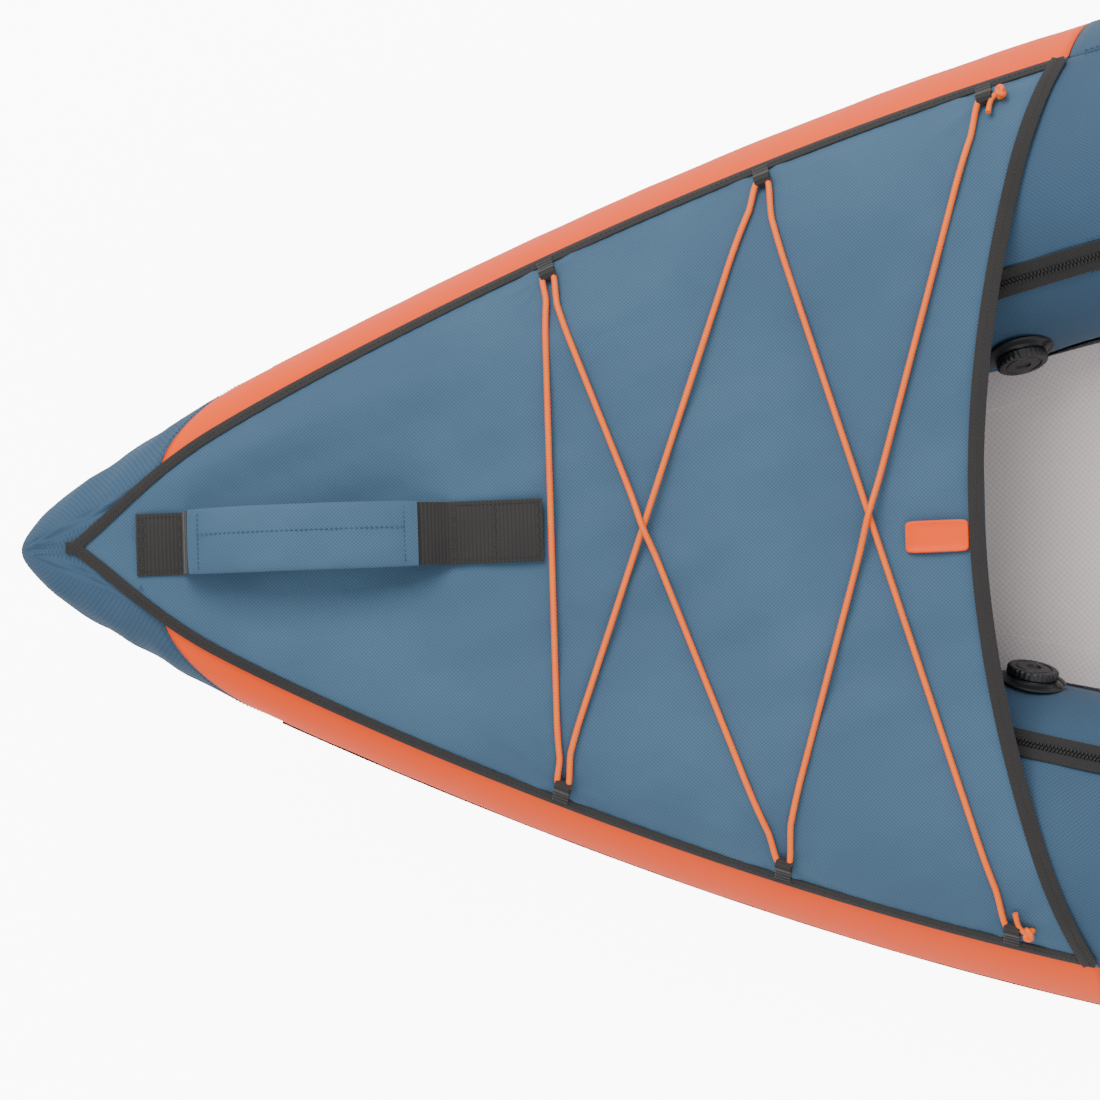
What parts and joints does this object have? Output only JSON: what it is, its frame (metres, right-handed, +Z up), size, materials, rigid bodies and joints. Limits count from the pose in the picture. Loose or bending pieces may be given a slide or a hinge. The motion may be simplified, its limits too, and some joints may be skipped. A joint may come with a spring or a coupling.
{
  "type": "inflatable kayak",
  "caption": "Single-seat touring inflatable kayak: air tubes in a textile cover, decks with elastic cord, drop-stitch floor, carrying handles, hinged seat back, footrest and slotted fin box.",
  "frame": {"origin": "on the ground, under the middle of the hull", "axes": "+X to the bow, +Y to port, +Z up"},
  "size_m": [3.35, 0.913, 0.5024],
  "materials": {
    "blue_textile": "woven, matt",
    "deck_textile": "woven, matt",
    "orange_pvc": "smooth coated cloth, satin",
    "black_pvc": "smooth coated cloth, satin",
    "webbing": "ribbed weave, matt",
    "cord": "braided",
    "floor_textile": "fine textured coated cloth",
    "plastic": "moulded, satin",
    "orange_plastic": "moulded, satin",
    "bladder": "smooth film",
    "seat_textile": "woven, padded"
  },
  "bodies": {
    "hull": {"bow_deck": "deck_textile", "bow_deck_binding": "webbing", "bow_handle_front_strap": "webbing", "bow_handle_rear_strap": "webbing", "bow_nose": "blue_textile", "cord_knot_port": "cord", "cord_knot_starboard": "cord", "cord_loop_1_port": "webbing", "cord_loop_1_starboard": "webbing", "cord_loop_2_port": "webbing", "cord_loop_2_starboard": "webbing", "cord_loop_3_port": "webbing", "cord_loop_3_starboard": "webbing", "deck_badge": "orange_pvc", "deck_cord": "cord", "drop_stitch_floor": "floor_textile", "fin_box": "plastic", "floor_valve_body": "plastic", "footrest_strap_port": "webbing", "footrest_strap_starboard": "webbing", "hull_bottom": "black_pvc", "seat_anchor_port": "webbing", "seat_anchor_starboard": "webbing", "seat_cushion": "seat_textile", "seat_strap_port": "webbing", "seat_strap_starboard": "webbing", "side_panel_bow_port": "orange_pvc", "side_panel_bow_starboard": "orange_pvc", "side_panel_mid_port": "blue_textile", "side_panel_mid_starboard": "blue_textile", "side_panel_stern_port": "orange_pvc", "side_panel_stern_starboard": "orange_pvc", "stern_deck": "deck_textile", "stern_deck_binding": "webbing", "stern_handle_front_strap": "webbing", "stern_handle_rear_strap": "webbing", "stern_nose": "blue_textile", "tube_bladder_port": "bladder", "tube_bladder_starboard": "bladder", "tube_cover_port": "blue_textile", "tube_cover_starboard": "blue_textile", "tube_valve_body_port": "plastic", "tube_valve_body_starboard": "plastic", "zip_port": "webbing", "zip_starboard": "webbing"},
    "bow_handle": {"bow_handle_grip": "blue_textile"},
    "stern_handle": {"stern_handle_grip": "blue_textile"},
    "zip_slider_port": {"zip_slider_port": "plastic"},
    "zip_slider_starboard": {"zip_slider_starboard": "plastic"},
    "tube_valve_cap_port": {"tube_valve_cap_port": "plastic"},
    "tube_valve_cap_starboard": {"tube_valve_cap_starboard": "plastic"},
    "floor_valve_cap": {"floor_valve_cap": "plastic"},
    "floor_valve_plunger": {"floor_valve_plunger": "orange_plastic"},
    "backrest": {"backrest": "seat_textile"},
    "footrest": {"footrest": "seat_textile"}
  },
  "joints": [
    {"name": "bow_handle_lift", "type": "slide", "parent": "hull", "child": "bow_handle", "axis": [0, 0, 1], "range_m": [-0.012, 0.008], "stiffness_N_per_m": 600},
    {"name": "stern_handle_lift", "type": "slide", "parent": "hull", "child": "stern_handle", "axis": [0, 0, 1], "range_m": [-0.012, 0.008], "stiffness_N_per_m": 600},
    {"name": "zip_slide_port", "type": "slide", "parent": "hull", "child": "zip_slider_port", "axis": [1, 0, 0], "range_m": [-0.62, 0]},
    {"name": "zip_slide_starboard", "type": "slide", "parent": "hull", "child": "zip_slider_starboard", "axis": [1, 0, 0], "range_m": [-0.62, 0]},
    {"name": "tube_valve_hinge_port", "type": "hinge", "parent": "hull", "child": "tube_valve_cap_port", "pos_m": [0.85067, 0.13977, 0.17107], "axis": [-0.012, -0.2557, -0.9667], "range_deg": [0, 110]},
    {"name": "tube_valve_hinge_starboard", "type": "hinge", "parent": "hull", "child": "tube_valve_cap_starboard", "pos_m": [0.85067, -0.13977, 0.17107], "axis": [0.012, -0.2557, 0.9667], "range_deg": [0, 110]},
    {"name": "floor_valve_hinge", "type": "hinge", "parent": "hull", "child": "floor_valve_cap", "pos_m": [-0.64534, 0.1, 0.11365], "axis": [0, -1, 0], "range_deg": [0, 115]},
    {"name": "floor_valve_press", "type": "slide", "parent": "hull", "child": "floor_valve_plunger", "axis": [-0.0245, 0, -0.9997], "range_m": [0, 0.005], "stiffness_N_per_m": 400, "springref_m": -0.003},
    {"name": "backrest_hinge", "type": "hinge", "parent": "hull", "child": "backrest", "pos_m": [-0.3, 0, 0.1528], "axis": [0, 1, 0], "range_deg": [-10, 75]},
    {"name": "footrest_slide", "type": "slide", "parent": "hull", "child": "footrest", "axis": [1, 0, 0], "range_m": [-0.1, 0]}
  ]
}
